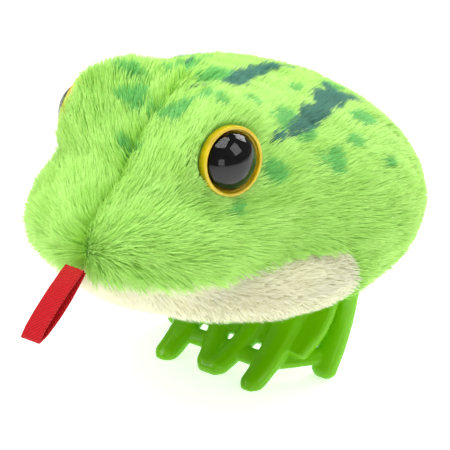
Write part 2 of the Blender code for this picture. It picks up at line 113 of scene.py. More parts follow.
# Pile: strands per square millimetre, strand length and width, and the spread of both
PILE_DENSITY = 10.0
PILE_LENGTH = 5.0 * MM
CREAM_LENGTH = 2.5 * MM
SHORTEST = 0.5 * MM
STRAND_WIDTH = 0.20 * MM
LENGTH_RANGE = (0.7, 1.15)
LENGTH_DRIFT = 0.12
WIDTH_RANGE = (0.7, 1.2)
STRAND_ROWS = (0.0, 0.35, 0.7, 1.0)
STRAND_TAPER = 0.55
# Towards the rump the pile is this much shorter, and more upright by this many degrees
BACK_LENGTH = 40 * MM
BACK_SHORTER = 0.28
UPRIGHT_START_Y = 10 * MM
BACK_UPRIGHT = 15
# Lean from upright in degrees, its slow drift and its scatter from strand to strand
GREEN_LEAN = 50
CREAM_LEAN = 34
LEAN_DRIFT = 3.5
LEAN_SCATTER = 5
# Less lean at the seam and at the eyes' rims, and the curl from foot to tip, in radians
SEAM_LESS_LEAN = 0.3
RIM_LESS_LEAN = 0.5
FOOT_CURL = 0.25
TIP_CURL = 0.35
# How the pile is brushed: drift of its direction, the parting at the seam and the brush down at the mouth
FLOW_DRIFT = 0.16
FLOW_SCATTER = 0.16
PARTING = 0.8
PARTING_WIDTH = 3.5 * MM
MOUTH_BRUSH = 0.9
MOUTH_BRUSH_WIDTH = 3 * MM
# Painted shade in the crease of the face's middle seam, in steps of the material's shades, and the width over
# which the seam's band fades, for that shade and for the seam's lesser lean
SEAM_PAINTED_SHADE = 2.0
SEAM_BAND_WIDTH = 2.5 * MM
# Pile beside a hard piece: how far it turns away and how much shorter it is, and over what distance
TURN_AWAY = 1.1
SHORTER_BESIDE = 0.3
EYE_TUCK = 0.2 * MM
EYE_REACH = 5 * MM
RIM_REACH = 3.5 * MM
TONGUE_CLEAR = 2.2 * MM
TONGUE_REACH = 2 * MM
# A distance in metres that puts pile out of an eye's reach
FAR_AWAY = 1.0
# Tufts: their spacing in mm, how strongly tips are drawn together and how loosely they stay apart
CLUMP_SPACING = 1.0
CLUMP_STRENGTH = 0.28
CLUMP_PULL_RANGE = (0.5, 1.0)
CLUMP_LOOSENESS = 0.35
# Turn of each flat strand about its length, and how much its shading normal departs from the skin's
TWIST = 0.5
CREAM_RUFFLE = 0.3
RUFFLE_UP = 0.2
RUFFLE_SCATTER = 0.09
# Painted shade from root to tip, darker at the root where the pile shades itself: levels in steps of the
# material's shades
SHADES = 5
ROOT_PAINTED_SHADE = 0.4
TIP_PAINTED_SHADE = 2.6
TONE_SCATTER = 1.4
TONE_DRIFT = 0.5
# Smooth noise: sine waves, and the spread of their lengths
NOISE_WAVES = 6
WAVE_RANGE = (0.7, 1.4)
# Ragged edges of the printed marks: slow wobble and scatter from strand to strand
EDGE_WOBBLE = 0.25
EDGE_SCATTER = 0.10
# (size, seed) of each smooth noise
LENGTH_NOISE = (9 * MM, 3)
LEAN_NOISE = (6 * MM, 5)
TONE_NOISE = (7 * MM, 9)
EDGE_NOISE = (7 * MM, 11)
FLOW_NOISES = ((16 * MM, 20), (16 * MM, 21), (16 * MM, 22))

# Printed marks on the left side, mirrored on the right: (place in mm, half length, half width)
SPOTS = (
    ((24.5, 12.3, 76.6), 5.4, 4.6),
    ((5.6, 5.7, 85.4), 5.8, 4.2),
    ((7.6, -12.2, 82.8), 3.8, 4.2),
    ((1.0, -14.0, 82.5), 4.0, 1.8),
    ((13.6, -6.4, 82.9), 2.8, 5.5),
    ((15.9, -19.0, 75.0), 2.6, 3.6),
    ((31.9, -0.3, 69.3), 3.8, 4.2),
    ((36.0, 16.0, 68.2), 3.2, 3.6),
    ((34.7, 25.8, 69.3), 2.5, 2.3),
    ((41.8, 31.1, 62.9), 2.0, 1.6),
    ((30.0, -14.0, 62.6), 2.6, 1.8),
    ((18.1, 2.8, 81.7), 3.8, 2.8),
    ((14.7, 26.4, 78.3), 2.8, 1.9),
    ((28.5, 36.0, 70.4), 4.4, 3.0),
    ((1.5, -22.6, 76.2), 1.8, 2.4),
    ((29.3, 12.8, 73.2), 3.8, 2.2),
    ((14.6, 40.5, 73.2), 5.6, 3.0),
)
# Dark stripes as lines of (place in mm, half width); those on the right start further back
STRIPES = (
    (((5.7, -4.2, 85.4), 0.8), ((9.8, 1.5, 84.9), 1.2), ((10.4, 7.0, 84.2), 2.2),
     ((5.7, 17.3, 82.4), 3.0), ((2.2, 26.1, 80.2), 3.0), ((1.4, 38.8, 75.7), 2.2)),
    (((26.9, 2.5, 75.6), 1.0), ((27.5, 10.8, 74.7), 1.9), ((25.3, 19.2, 75.5), 3.3),
     ((22.2, 28.7, 75.3), 3.6), ((19.5, 37.7, 73.2), 3.4), ((19.9, 42.4, 70.8), 2.4)),
    (((14.0, 38.5, 74.3), 1.6), ((18.6, 37.3, 73.6), 2.2)),
)
RIGHT_STRIPE_SHIFT = 12 * MM

# Each colour from its darkest to its lightest shade: strands run from the dark one at the root to the light
# one at the tip, a painted shade
PILE_COLOURS = {
    "lime": ((0.30, 0.68, 0.05), (0.56, 0.93, 0.22)),
    "spot": ((0.07, 0.40, 0.05), (0.19, 0.64, 0.14)),
    "stripe": ((0.02, 0.12, 0.085), (0.065, 0.25, 0.17)),
    "cream": ((0.91, 0.90, 0.58), (0.98, 0.98, 0.76)),
}
ZONES = list(PILE_COLOURS)
# Painted glow: the pile emits this share of its own colour, lifting its shadows in place of light that passes
# through it
PILE_PAINTED_GLOW = 0.08

# Studio: soft lights as (name, azimuth, elevation, distance, size, power), in degrees, metres and watts
LIGHTS = (
    ("key_left", -40, 42, 0.7, 0.36, 2.1),
    ("fill_right", 105, 40, 0.8, 0.42, 1.45),
    ("top_soft", 20, 80, 0.7, 0.55, 3.4),
    ("back_soft", 175, 35, 0.8, 0.42, 3.0),
    ("front_low", 40, 12, 0.9, 0.3, 0.5),
)
WORLD_STRENGTH = 0.16
FLOOR_HALF_SIZE = 3.0
FLOOR_DROP = 0.2 * MM
FLOOR_GLOW = 0.6

CAMERA_AZIMUTH = math.radians(40)
CAMERA_ELEVATION = math.radians(25)
CAMERA_DISTANCE = 2.5
VIEW_WIDTH = 112.5 * MM
AIM = Vector((7.4, 5.5, 43.8)) * MM
SENSOR_WIDTH = 36.0

X, Y, Z = range(3)


# Geometry of the body


def blob_sum(points, shrink):
    """Above 1 inside the smooth union of the body's ellipsoids, each made smaller by shrink."""
    total = np.zeros(len(points))
    for centre, half in (TORSO, SHOULDERS, CROWN, MUZZLE, JOWL):
        scaled = (points - np.array(centre) * MM) / (np.array(half) * MM - shrink)
        total += np.maximum(np.linalg.norm(scaled, axis=1), 0.001) ** -BLEND_POWER
    return total


def body_points(directions, shrink):
    """Where rays from the body's centre leave the body."""
    near = np.zeros(len(directions))
    far = np.full(len(directions), RAY_LENGTH)
    for _ in range(RAY_HALVINGS):
        middle = (near + far) / 2
        inside = blob_sum(BODY_CENTRE + directions * middle[:, None], shrink) > 1
        near = np.where(inside, middle, near)
        far = np.where(inside, far, middle)
    return BODY_CENTRE + directions * near[:, None]


def body_normals(points, shrink):
    """Outward unit normals of the body, from its slope over a small step."""
    step = 0.05 * MM
    slopes = []
    for axis in np.eye(3):
        ahead = blob_sum(points + axis * step, shrink)
        slopes.append(blob_sum(points - axis * step, shrink) - ahead)
    slopes = np.stack(slopes, axis=1)
    return slopes / np.linalg.norm(slopes, axis=1)[:, None]


def new_object(name, mesh):
    obj = bpy.data.objects.new(name, mesh)
    bpy.context.scene.collection.objects.link(obj)
    return obj


def object_from(name, bm):
    """A smooth-shaded object made of a bmesh, which is freed."""
    bmesh.ops.recalc_face_normals(bm, faces=bm.faces)
    mesh = bpy.data.meshes.new(name)
    bm.to_mesh(mesh)
    bm.free()
    mesh.shade_smooth()
    return new_object(name, mesh)


def apply_modifiers(obj):
    """Makes the object's modifiers part of its mesh."""
    depsgraph = bpy.context.evaluated_depsgraph_get()
    mesh = bpy.data.meshes.new_from_object(obj.evaluated_get(depsgraph), depsgraph=depsgraph)
    obj.modifiers.clear()
    obj.data = mesh


def clip(face, axis, limit, sign):
    """The corners of a face cut off at a plane, back from it by half a seam's gap."""
    place = limit + sign * SEAM_GAP / 2
    kept = []
    for here, following in zip(face, face[1:] + face[:1]):
        inside = (here[axis] - place) * sign > 0
        if inside:
            kept.append(here)
        if inside != ((following[axis] - place) * sign > 0):
            near, far = (here, following) if inside else (following, here)
            share = (place - near[axis]) / (far[axis] - near[axis])
            kept.append(tuple(n + (f - n) * share for n, f in zip(near, far)))
    return kept


def mesh_from_faces(name, faces):
    """A smooth mesh of faces given by their corners; corners in the same place are shared."""
    numbers = {}
    for face in faces:
        for corner in face:
            numbers.setdefault(corner, len(numbers))
    mesh = bpy.data.meshes.new(name)
    mesh.from_pydata(list(numbers), [], [[numbers[corner] for corner in face] for face in faces])
    mesh.shade_smooth()
    return mesh


def eye_axis(side):
    """The way an eye looks; side is 1 for the frog's left eye and -1 for its right."""
    return Vector((
        side * math.sin(EYE_AZIMUTH) * math.cos(EYE_TILT),
        -math.cos(EYE_AZIMUTH) * math.cos(EYE_TILT),
        math.sin(EYE_TILT),
    ))


def about_eye(points, side):
    """Each point's height along the eye's axis from its face, and its offset across the axis."""
    axis = np.array(eye_axis(side))
    offset = points - np.array((side * EYE_PLACE.x, EYE_PLACE.y, EYE_PLACE.z))
    height = offset @ axis
    return height, offset - height[:, None] * axis


def seat_eyes(points):
    """The cloth gathered up to the back of each eye, in a low cushion round it."""
    for side in (-1, 1):
        height, across = about_eye(points, side)
        distance = np.linalg.norm(across, axis=1)
        share = np.clip(1 - (distance - EYE_RADIUS) / EYE_CUSHION, 0, 1)
        share = share * share * (3 - 2 * share) * (height > -EYE_SIDE_DEPTH)
        points = points + np.array(eye_axis(side)) * ((EYE_BACK - height) * share)[:, None]
    return points


def sew_seam(points):
    """The face's middle seam pulled in a little, from the mouth to the crown."""
    depth = SEAM_DIP * np.exp(-((points[:, 0] / SEAM_SPREAD) ** 2))
    depth *= (points[:, 1] < SEAM_END_Y) & (points[:, 2] > SEAM_FOOT_Z)
    return points - body_normals(points, SKIN_DEPTH) * depth[:, None]


def ordered_faces(bm):
    """The corner numbers of each face, from its lowest on, in an order that is the same each run."""
    loops = [[vert.index for vert in face.verts] for face in bm.faces]
    starts = [loop.index(min(loop)) for loop in loops]
    return sorted(loop[start:] + loop[:start] for loop, start in zip(loops, starts))


def skin_panel(name, sides, slot_cut):
    """The open cloth surface of one panel, at the depth of the pile's roots."""
    bm = bmesh.new()
    bmesh.ops.create_uvsphere(bm, u_segments=SKIN_SEGMENTS, v_segments=SKIN_RINGS, radius=1.0)
    directions = np.array([vert.co.normalized() for vert in bm.verts])
    points = seat_eyes(sew_seam(body_points(directions, SKIN_DEPTH))).tolist()
    faces = [[tuple(points[number]) for number in numbers] for numbers in ordered_faces(bm)]
    bm.free()
    for side in sides:
        clipped = [clip(face, *side) for face in faces]
        faces = [face for face in clipped if len(face) > 2]
    if slot_cut:
        faces = [face for face in faces if not inside_slot(Vector(np.mean(face, axis=0)))]
    return new_object(name, mesh_from_faces(name, faces))


def inside_slot(point):
    """True on the underside where the clip's slot is."""
    half, front, back, foot = POCKET_FOOT
    top_half, top_front, top_back, top = POCKET_TOP
    share = (point.z / MM - foot) / (top - foot)
    wide = half + (top_half - half) * share
    ahead = front + (top_front - front) * share
    behind = back + (top_back - back) * share
    middle = (ahead + behind) / 2
    deep = (behind - ahead) / 2
    reach = abs(point.x / MM / wide) ** SLOT_SQUARENESS
    reach += abs((point.y / MM - middle) / deep) ** SLOT_SQUARENESS
    return reach < 1 and point.z < SLOT_LIMIT_Z


# Pile


def smooth_noise(points, scale, seed):
    """Smooth values from about -1 to 1 for each point: a few sine waves in seeded directions."""
    rng = np.random.default_rng(seed)
    total = np.zeros(len(points))
    for _ in range(NOISE_WAVES):
        direction = rng.normal(size=3)
        direction *= 2 * math.pi / (scale * np.linalg.norm(direction)) * rng.uniform(*WAVE_RANGE)
        total += np.sin(points @ direction + rng.uniform(0, 2 * math.pi))
    return total / math.sqrt(NOISE_WAVES)


def sample_surface(obj, density, rng):
    """Points spread evenly over a mesh, at so many to the square millimetre."""
    mesh = obj.data
    mesh.calc_loop_triangles()
    verts = np.zeros(len(mesh.vertices) * 3)
    mesh.vertices.foreach_get("co", verts)
    verts = verts.reshape(-1, 3)
    corners = np.zeros(len(mesh.loop_triangles) * 3, dtype=np.int32)
    mesh.loop_triangles.foreach_get("vertices", corners)
    a, b, c = (verts[corners.reshape(-1, 3)[:, k]] for k in range(3))
    areas = np.linalg.norm(np.cross(b - a, c - a), axis=1) / 2
    count = int(areas.sum() / MM**2 * density)
    chosen = rng.choice(len(areas), size=count, p=areas / areas.sum())
    u = rng.random(count)
    v = rng.random(count)
    flip = u + v > 1
    u = np.where(flip, 1 - u, u)
    v = np.where(flip, 1 - v, v)
    return a[chosen] + (b - a)[chosen] * u[:, None] + (c - a)[chosen] * v[:, None]


def segment_distance(points, start, end):
    """Distance from each point to a segment, and how far along it the nearest point lies."""
    along = end - start
    share = np.clip((points - start) @ along / (along @ along), 0, 1)
    return np.linalg.norm(points - start - share[:, None] * along, axis=1), share


def printed_zone(points, rng):
    """The index in ZONES of the printed colour at each point of the green panels."""
    wobble = EDGE_WOBBLE * smooth_noise(points, *EDGE_NOISE) + EDGE_SCATTER * rng.normal(size=len(points))
    folded = points.copy()
    folded[:, 0] = np.abs(folded[:, 0])
    zone = np.zeros(len(points), dtype=int)
    for place, length, width in SPOTS:
        offset = (folded - np.array(place) * MM) / MM
        across = offset[:, 1] / length
        down = np.hypot(offset[:, 0], offset[:, 2]) / width
        zone[np.hypot(across, down) + wobble < 1] = ZONES.index("spot")
    folded[:, 1] -= np.where(points[:, 0] < 0, RIGHT_STRIPE_SHIFT, 0)
    for line in STRIPES:
        for (start, start_width), (end, end_width) in zip(line, line[1:]):
            distance, share = segment_distance(folded, np.array(start) * MM, np.array(end) * MM)
            width = (start_width + (end_width - start_width) * share) * MM
            zone[distance / width + wobble < 1] = ZONES.index("stripe")
    return zone


def unit(vectors):
    """The vectors at a length of 1."""
    return vectors / np.maximum(np.linalg.norm(vectors, axis=1), 1e-9)[:, None]


def falloff(values, width):
    """1 at zero, and less with distance to either side of it."""
    return np.exp(-np.abs(values) / width)


def part_round(flow, length, away, distance, radius, reach):
    """Pile beside something hard: none grows under it, and what grows near it turns away from it."""
    near = np.clip(1 - (distance - radius) / reach, 0, 1)
    inward = np.minimum((flow * away).sum(axis=1), 0)
    flow = unit(flow - away * (inward * near)[:, None] * TURN_AWAY)
    return flow, np.where(distance < radius, 0, length * (1 - SHORTER_BESIDE * near))


def part_round_hard_pieces(roots, flow, length):
    """The pile's direction and length round both eyes and the root of the tongue."""
    for side in (-1, 1):
        height, across = about_eye(roots, side)
        distance = np.linalg.norm(across, axis=1) + np.where(height > -EYE_SIDE_DEPTH, 0, FAR_AWAY)
        flow, length = part_round(flow, length, unit(across), distance, EYE_RADIUS - EYE_TUCK, EYE_REACH)
    offset = roots - np.array(TONGUE_ROOT)
    distance = np.linalg.norm(offset, axis=1)
    return part_round(flow, length, unit(offset), distance, TONGUE_CLEAR, TONGUE_REACH)


def beside_eye(roots):
    """1 at an eye's rim, falling to 0 a little way out."""
    near = np.zeros(len(roots))
    for side in (-1, 1):
        height, across = about_eye(roots, side)
        distance = np.linalg.norm(across, axis=1) - EYE_RADIUS
        near = np.maximum(near, np.clip(1 - distance / RIM_REACH, 0, 1) * (height > -EYE_SIDE_DEPTH))
    return near


def clump(roots, tips, strength, rng):
    """Strand tips drawn together in small tufts."""
    count = max(int(len(roots) / (CLUMP_SPACING**2 * PILE_DENSITY)), 1)
    leaders = rng.choice(len(roots), size=count, replace=False)
    tree = KDTree(count)
    for index, leader in enumerate(leaders):
        tree.insert(roots[leader], index)
    tree.balance()
    nearest = np.array([leaders[tree.find(root)[1]] for root in roots])
    pull = strength * rng.uniform(*CLUMP_PULL_RANGE, len(roots))[:, None]
    return tips + (tips[nearest] + CLUMP_LOOSENESS * (roots - roots[nearest]) - tips) * pull


def strand_mesh(name, points, sides, normals, shades):
    """One mesh of tapered strands; points holds each strand's rows, shades each face's material."""
    count = len(points)
    rows = len(STRAND_ROWS)
    per = 2 * (rows - 1) + 1
    verts = np.zeros((count, per, 3))
    for row in range(rows - 1):
        taper = 1 - STRAND_TAPER * STRAND_ROWS[row]
        verts[:, 2 * row] = points[:, row] - sides * taper
        verts[:, 2 * row + 1] = points[:, row] + sides * taper
    verts[:, -1] = points[:, -1]
    pattern = []
    for row in range(rows - 2):
        pattern += [2 * row, 2 * row + 1, 2 * row + 3, 2 * row + 2]
    pattern += [per - 3, per - 2, per - 1]
    sizes = [4] * (rows - 2) + [3]
    loops = (np.array(pattern)[None, :] + np.arange(count)[:, None] * per).ravel()
    totals = np.tile(sizes, count)
    starts = np.concatenate(([0], np.cumsum(totals)[:-1]))
    mesh = bpy.data.meshes.new(name)
    mesh.vertices.add(count * per)
    mesh.vertices.foreach_set("co", verts.ravel())
    mesh.loops.add(len(loops))
    mesh.loops.foreach_set("vertex_index", loops.astype(np.int32))
    mesh.polygons.add(len(totals))
    mesh.polygons.foreach_set("loop_start", starts.astype(np.int32))
    mesh.polygons.foreach_set("material_index", shades.ravel().astype(np.int32))
    mesh.update(calc_edges=True)
    mesh.validate()
    mesh.shade_smooth()
    mesh.normals_split_custom_set_from_vertices(np.repeat(normals, per, axis=0).tolist())
    return mesh


def strand_lengths(roots, cream, rng):
    """Each strand's length, shorter towards the rump and on the cream panel."""
    if cream:
        length = np.full(len(roots), CREAM_LENGTH)
    else:
        back = np.clip(roots[:, 1] / BACK_LENGTH, 0, 1)
        length = PILE_LENGTH * (1 - BACK_SHORTER * back)
    length = length * rng.uniform(*LENGTH_RANGE, len(roots))
    return length * (1 + LENGTH_DRIFT * smooth_noise(roots, *LENGTH_NOISE))


def brushed_flow(roots, normals):
    """The way the pile lies: back from the nose, parted at the seam, brushed down along the mouth."""
    flow = unit(roots - NOSE)
    drift = np.stack([smooth_noise(roots, *noise) for noise in FLOW_NOISES], axis=1)
    flow = flow + FLOW_DRIFT * drift
    on_face = (roots[:, 1] < 0) & (roots[:, 2] > MOUTH_Z)
    flow[:, 0] += PARTING * np.sign(roots[:, 0]) * falloff(roots[:, 0], PARTING_WIDTH) * on_face
    at_mouth = falloff(roots[:, 2] - MOUTH_Z, MOUTH_BRUSH_WIDTH) * (roots[:, 1] < SIDE_SEAM_Y)
    flow[:, 2] -= MOUTH_BRUSH * at_mouth
    return unit(flow - normals * (flow * normals).sum(axis=1)[:, None])


def strand_leans(roots, seam, cream, rng):
    """Each strand's angle from upright, in radians."""
    if cream:
        lean = CREAM_LEAN
    else:
        back = np.clip((roots[:, 1] - UPRIGHT_START_Y) / BACK_LENGTH, 0, 1)
        lean = GREEN_LEAN - BACK_UPRIGHT * back
    drift = LEAN_DRIFT * smooth_noise(roots, *LEAN_NOISE)
    scatter = LEAN_SCATTER * rng.normal(size=len(roots))
    return np.radians(lean + drift + scatter) - (SEAM_LESS_LEAN * seam + RIM_LESS_LEAN * beside_eye(roots))


def leaning(normals, flow, angle):
    """Directions at an angle from upright, towards the flow."""
    return normals * np.cos(angle)[:, None] + flow * np.sin(angle)[:, None]


def strand_points(roots, normals, flow, length, lean, cream, rng):
    """The points along each strand, and where its tip would be if it weren't drawn into a tuft."""
    scatter = FLOW_SCATTER * rng.normal(size=roots.shape)
    flow = unit(flow + scatter - normals * (scatter * normals).sum(axis=1)[:, None])
    start = leaning(normals, flow, lean - FOOT_CURL)
    end = leaning(normals, flow, lean + TIP_CURL)
    tips = roots + (start + end) / 2 * length[:, None]
    shift = clump(roots, tips, 0.0 if cream else CLUMP_STRENGTH, rng) - tips
    points = np.zeros((len(roots), len(STRAND_ROWS), 3))
    for row, t in enumerate(STRAND_ROWS):
        bend = start * (t - t * t / 2) + end * (t * t / 2)
        points[:, row] = roots + bend * length[:, None] + shift * t**1.5
    return points, tips


def strand_sides(points, normals, cream, rng):
    """Half of each strand's width as a vector, and the normal that it is shaded with."""
    twist = TWIST * rng.normal(size=len(points))
    along = unit(points[:, -1] - points[:, 0])
    wide = unit(np.cross(along, normals))
    upright = np.cross(wide, along)
    sides = wide * np.cos(twist)[:, None] + upright * np.sin(twist)[:, None]
    sides = sides * (STRAND_WIDTH / 2 * rng.uniform(*WIDTH_RANGE, len(points)))[:, None]
    ruffle = CREAM_RUFFLE if cream else 1.0
    scatter = RUFFLE_SCATTER * rng.normal(size=normals.shape)
    return sides, unit(normals + ruffle * (RUFFLE_UP * upright + scatter))


def strand_shades(roots, zone, seam, cream, rng):
    """The material of each face: painted shade, dark at the root and light at the tip, and darkest in the
    seam's crease.
    """
    tone = TONE_SCATTER * rng.random(len(roots)) + TONE_DRIFT * smooth_noise(roots, *TONE_NOISE)
    # Painted shade in the crease of the face's seam, on the green pile
    if not cream:
        tone = tone - SEAM_PAINTED_SHADE * seam
    faces = len(STRAND_ROWS) - 1
    # Painted shade along each strand, from its dark root to its light tip
    level = tone[:, None] + np.linspace(ROOT_PAINTED_SHADE, TIP_PAINTED_SHADE, faces)[None, :]
    return zone[:, None] * SHADES + np.clip(np.round(level), 0, SHADES - 1).astype(int)


def pile(name, skin, seed, cream):
    """The pile of one panel, grown from its cloth."""
    rng = np.random.default_rng(seed)
    roots = sample_surface(skin, PILE_DENSITY, rng)
    normals = body_normals(roots, SKIN_DEPTH)
    length = strand_lengths(roots, cream, rng)
    flow, length = part_round_hard_pieces(roots, brushed_flow(roots, normals), length)
    grown = length > SHORTEST
    roots, normals, length, flow = (values[grown] for values in (roots, normals, length, flow))

    # Nearness to the face's middle seam: less lean there, and painted shade in its crease
    seam = falloff(roots[:, 0], SEAM_BAND_WIDTH) * (roots[:, 1] < 0)
    lean = strand_leans(roots, seam, cream, rng)
    points, tips = strand_points(roots, normals, flow, length, lean, cream, rng)
    zone = np.full(len(roots), ZONES.index("cream")) if cream else printed_zone(tips, rng)
    sides, shading = strand_sides(points, normals, cream, rng)
    shades = strand_shades(roots, zone, seam, cream, rng)
    mesh = strand_mesh(name, points, sides, shading, shades)
    for made in pile_materials():
        mesh.materials.append(made)
    return new_object(name, mesh)


# Materials


def principled(name, colour, roughness, **inputs):
    """A material whose Principled shader has these values; returns it with its tree and shader."""
    made = bpy.data.materials.new(name)
    made.use_nodes = True
    shader = made.node_tree.nodes["Principled BSDF"]
    shader.inputs["Base Color"].default_value = (*colour, 1)
    shader.inputs["Roughness"].default_value = roughness
    for key, value in inputs.items():
        shader.inputs[key.replace("_", " ")].default_value = value
    return made, made.node_tree, shader


def add_node(tree, kind, **values):
    """A new node with its inputs or settings given by name."""
    node = tree.nodes.new(kind)
    for key, value in values.items():
        if key in node.inputs:
            node.inputs[key].default_value = value
        else:
            setattr(node, key, value)
    return node


def noise_colour(tree, shader, low, high, scale):
    """Base colour that drifts between two colours over a noise."""
    coords = add_node(tree, "ShaderNodeTexCoord")
    noise = add_node(tree, "ShaderNodeTexNoise", Scale=scale, Detail=4.0)
    ramp = add_node(tree, "ShaderNodeValToRGB")
    ramp.color_ramp.elements[0].position = 0.3
    ramp.color_ramp.elements[0].color = (*low, 1)
    ramp.color_ramp.elements[1].position = 0.7
    ramp.color_ramp.elements[1].color = (*high, 1)
    tree.links.new(coords.outputs["Object"], noise.inputs["Vector"])
    tree.links.new(noise.outputs["Fac"], ramp.inputs["Fac"])
    tree.links.new(ramp.outputs["Color"], shader.inputs["Base Color"])


def noise_bump(tree, shader, scale, strength, distance):
    """A fine bump over a noise; returns the noise, for a roughness that follows it."""
    coords = add_node(tree, "ShaderNodeTexCoord")
    noise = add_node(tree, "ShaderNodeTexNoise", Scale=scale, Detail=3.0)
    bump = add_node(tree, "ShaderNodeBump", Strength=strength, Distance=distance)
    tree.links.new(coords.outputs["Object"], noise.inputs["Vector"])
    tree.links.new(noise.outputs["Fac"], bump.inputs["Height"])
    tree.links.new(bump.outputs["Normal"], shader.inputs["Normal"])
    return noise


def noise_roughness(tree, shader, noise, low, high):
    spread = add_node(tree, "ShaderNodeMapRange")
    spread.inputs["To Min"].default_value = low
    spread.inputs["To Max"].default_value = high
    tree.links.new(noise.outputs["Fac"], spread.inputs["Value"])
    tree.links.new(spread.outputs["Result"], shader.inputs["Roughness"])


def pile_materials():
    """Each printed colour in painted shades, from dark at the strands' roots to light at their tips."""
    made = []
    for zone, (dark, light) in PILE_COLOURS.items():
        for shade in range(SHADES):
            name = f"pile_{zone}_{shade}"
            if name not in bpy.data.materials:
                share = shade / (SHADES - 1)
                colour = [a + (b - a) * share for a, b in zip(dark, light)]
                _, _, shader = principled(name, colour, 0.6)
                # Painted glow in the pile's own colour, lifting its shadows in place of light passing through
                # it
                shader.inputs["Emission Color"].default_value = (*colour, 1)
                shader.inputs["Emission Strength"].default_value = PILE_PAINTED_GLOW
                shader.inputs["Sheen Weight"].default_value = 0.25
                shader.inputs["Sheen Roughness"].default_value = 0.5
                shader.inputs["Sheen Tint"].default_value = (*light, 1)
            made.append(bpy.data.materials[name])
    return made


def cloth_material(name, low, high):
    made, tree, shader = principled(name, high, 0.9)
    noise_colour(tree, shader, low, high, 900.0)
    noise_bump(tree, shader, 2500.0, 0.4, 0.0002)
    shader.inputs["Sheen Weight"].default_value = 0.3
    return made


def claw_material():
    made, tree, shader = principled("claw_plastic_looks", (0.20, 0.58, 0.0), 0.25)
    noise_colour(tree, shader, (0.185, 0.56, 0.0), (0.225, 0.66, 0.0), 60.0)
    noise = noise_bump(tree, shader, 700.0, 0.08, 0.0002)
    noise_roughness(tree, shader, noise, 0.16, 0.32)
    shader.inputs["Subsurface Weight"].default_value = 0.15
    shader.inputs["Subsurface Radius"].default_value = (0.3, 1.0, 0.1)
    shader.inputs["Subsurface Scale"].default_value = 0.002
    shader.inputs["Specular IOR Level"].default_value = 0.35
    return made


def eye_yellow_material():
    made, tree, shader = principled("eye_yellow_looks", (0.70, 0.52, 0.005), 0.25)
    noise_colour(tree, shader, (0.62, 0.42, 0.003), (0.80, 0.60, 0.008), 250.0)
    shader.inputs["Subsurface Weight"].default_value = 0.2
    shader.inputs["Subsurface Scale"].default_value = 0.001
    shader.inputs["Coat Weight"].default_value = 0.5
    shader.inputs["Coat Roughness"].default_value = 0.08
    return made


def eye_black_material():
    made, tree, shader = principled("eye_black_looks", (0.003, 0.003, 0.004), 0.6)
    shader.inputs["Specular IOR Level"].default_value = 0.05
    noise_bump(tree, shader, 500.0, 0.05, 0.0001)
    return made


def lens_material():
    made, _, shader = principled("eye_clear_looks", (1.0, 0.99, 0.95), 0.0)
    shader.inputs["Transmission Weight"].default_value = 1.0
    shader.inputs["IOR"].default_value = 1.49
    return made


def steel_material():
    made, tree, shader = principled("steel_looks", (0.62, 0.62, 0.64), 0.3, Metallic=1.0)
    noise = noise_bump(tree, shader, 1200.0, 0.1, 0.0001)
    noise_roughness(tree, shader, noise, 0.22, 0.40)
    return made


def washer_material():
    made, tree, shader = principled("washer_looks", (0.80, 0.80, 0.78), 0.5)
    noise_colour(tree, shader, (0.74, 0.74, 0.72), (0.83, 0.83, 0.81), 400.0)
    noise_bump(tree, shader, 900.0, 0.1, 0.0001)
    return made


def ribbon_material():
    """Twill: fine diagonal ribs across the ribbon, in the ribbon's own UV map."""
    made, tree, shader = principled("red_ribbon_looks", (0.60, 0.004, 0.010), 0.5)
    place = add_node(tree, "ShaderNodeUVMap", uv_map="weave")
    wave = add_node(tree, "ShaderNodeTexWave", Scale=1.0, Distortion=0.4)
    wave.wave_type = "BANDS"
    wave.bands_direction = "DIAGONAL"
    wave.inputs["Detail"].default_value = 1.0
    ramp = add_node(tree, "ShaderNodeValToRGB")
    ramp.color_ramp.elements[0].color = (0.46, 0.0, 0.004, 1)
    ramp.color_ramp.elements[1].color = (0.66, 0.002, 0.012, 1)
    bump = add_node(tree, "ShaderNodeBump", Strength=0.6, Distance=0.0003)
    tree.links.new(place.outputs["UV"], wave.inputs["Vector"])
    tree.links.new(wave.outputs["Fac"], ramp.inputs["Fac"])
    tree.links.new(ramp.outputs["Color"], shader.inputs["Base Color"])
    tree.links.new(wave.outputs["Fac"], bump.inputs["Height"])
    tree.links.new(bump.outputs["Normal"], shader.inputs["Normal"])
    shader.inputs["Specular IOR Level"].default_value = 0.3
    return made


# Pieces


def plush():
    """Each panel as its cloth and its pile; its edges are planes of (axis, place, side kept)."""
    above_mouth = (Z, MOUTH_Z, 1)
    under_mouth = (Z, MOUTH_Z, -1)
    ahead = (Y, SIDE_SEAM_Y, -1)
    behind = (Y, SIDE_SEAM_Y, 1)
    green_cloth = cloth_material("green_cloth", (0.26, 0.58, 0.04), (0.34, 0.68, 0.08))
    cream_cloth = cloth_material("cream_cloth", (0.85, 0.82, 0.52), (0.93, 0.91, 0.62))
    panels = (
        ("face_panel_left", [(X, 0.0, 1), above_mouth, ahead], False, False),
        ("face_panel_right", [(X, 0.0, -1), above_mouth, ahead], False, False),
        ("back_panel", [(Z, BELLY_TOP_Z, 1), behind], False, False),
        ("belly_panel", [(Z, BELLY_TOP_Z, -1), behind], False, True),
        ("chin_panel", [under_mouth, ahead], True, True),
    )
    for seed, (node, sides, cream, slot_cut) in enumerate(panels):
        cloth = skin_panel(node + "_cloth", sides, slot_cut)
        fur = pile(node + "_pile", cloth, seed + 1, cream)
        thick = cloth.modifiers.new("thickness", "SOLIDIFY")
        thick.thickness = CLOTH_THICKNESS
        thick.offset = -1
        apply_modifiers(cloth)
        cloth.data.materials.append(cream_cloth if cream else green_cloth)
        for piece in (cloth, fur):
            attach(piece, "plush_body")
        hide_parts(node)


